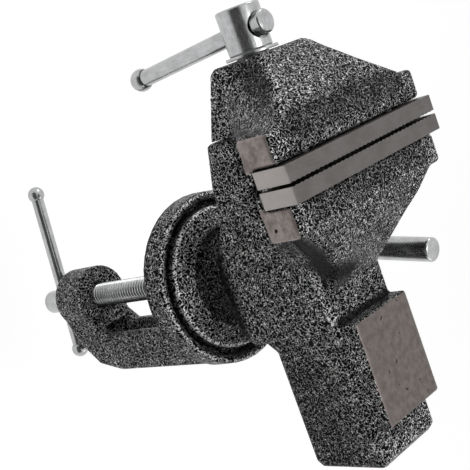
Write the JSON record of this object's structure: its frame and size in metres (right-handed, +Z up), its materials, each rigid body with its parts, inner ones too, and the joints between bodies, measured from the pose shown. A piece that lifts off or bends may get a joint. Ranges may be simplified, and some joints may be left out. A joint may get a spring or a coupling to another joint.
{
  "type": "mini bench vise",
  "caption": "Small clamp-on bench vise: swivel base, sliding screw jaw with toothed steel plates, anvil pad, swivel lock lever and a C clamp with its own screw.",
  "frame": {"origin": "where the swivel axis meets the underside of the round base, the face that rests on the bench top", "axes": "+Z up along the swivel axis, -Y towards the main screw's head, +X to the right of a user who faces the screw head"},
  "size_m": [0.07, 0.1425, 0.1769],
  "materials": {
    "hammertone_iron": "black and silver hammertone enamel over a sand casting",
    "milled_steel": "fine milled, grey brown",
    "plated_steel": "bright zinc plate, slightly brushed",
    "nut_steel": "plain machined",
    "dark_screw_steel": "blackened"
  },
  "bodies": {
    "base": {"clamp_frame": "hammertone_iron"},
    "head": {"vise_body": "hammertone_iron", "fixed_jaw_plate": "milled_steel", "fixed_plate_screw_left": "dark_screw_steel", "fixed_plate_screw_right": "dark_screw_steel", "lead_nut": "nut_steel"},
    "sliding_jaw": {"moving_jaw": "hammertone_iron", "moving_jaw_plate": "milled_steel", "moving_plate_screw_left": "dark_screw_steel", "moving_plate_screw_right": "dark_screw_steel", "slide_stop_pin": "dark_screw_steel"},
    "lead_screw": {"main_screw": "plated_steel", "main_screw_washer": "plated_steel", "retaining_clip": "dark_screw_steel"},
    "main_handle": {"main_handle_bar": "plated_steel", "main_handle_knob_top": "plated_steel", "main_handle_knob_bottom": "plated_steel"},
    "swivel_lock": {"lock_lever": "plated_steel"},
    "pressure_pad": {"clamp_pad": "nut_steel"},
    "clamp_spindle": {"clamp_screw": "plated_steel"},
    "clamp_handle": {"clamp_handle_bar": "plated_steel", "clamp_handle_knob_front": "plated_steel", "clamp_handle_knob_rear": "plated_steel"}
  },
  "joints": [
    {"name": "swivel", "type": "hinge", "parent": "base", "child": "head", "pos_m": [0, 0, 0], "axis": [0, 0, 1], "continuous": true},
    {"name": "jaw_slide", "type": "slide", "parent": "head", "child": "sliding_jaw", "axis": [0, -1, 0], "range_m": [-0.0005, 0.055]},
    {"name": "main_screw_turn", "type": "hinge", "parent": "sliding_jaw", "child": "lead_screw", "pos_m": [0, 0, 0.0523], "axis": [0, -1, 0], "range_deg": [-61, 6601]},
    {"name": "main_handle_slide", "type": "slide", "parent": "lead_screw", "child": "main_handle", "axis": [0, -0.0576, 0.9983], "range_m": [0, 0.0375]},
    {"name": "swivel_lock_turn", "type": "hinge", "parent": "head", "child": "swivel_lock", "pos_m": [-0.014, 0, 0.0163], "axis": [-1, 0, 0], "range_deg": [-5, 80]},
    {"name": "clamp_pad_slide", "type": "slide", "parent": "base", "child": "pressure_pad", "axis": [0, 0, 1], "range_m": [-0.044, 0.0045]},
    {"name": "clamp_screw_turn", "type": "hinge", "parent": "pressure_pad", "child": "clamp_spindle", "pos_m": [0, 0, -0.05], "axis": [0, 0, 1], "range_deg": [-10561, 1081]},
    {"name": "clamp_handle_slide", "type": "slide", "parent": "clamp_spindle", "child": "clamp_handle", "axis": [-0.1132, -0.9936, 0], "range_m": [-0.0345, 0.0115]}
  ],
  "couplings": [
    {"joint": "main_screw_turn", "follows": "jaw_slide", "rad_per_m": 2094.4},
    {"joint": "clamp_screw_turn", "follows": "clamp_pad_slide", "rad_per_m": 4188.8}
  ]
}
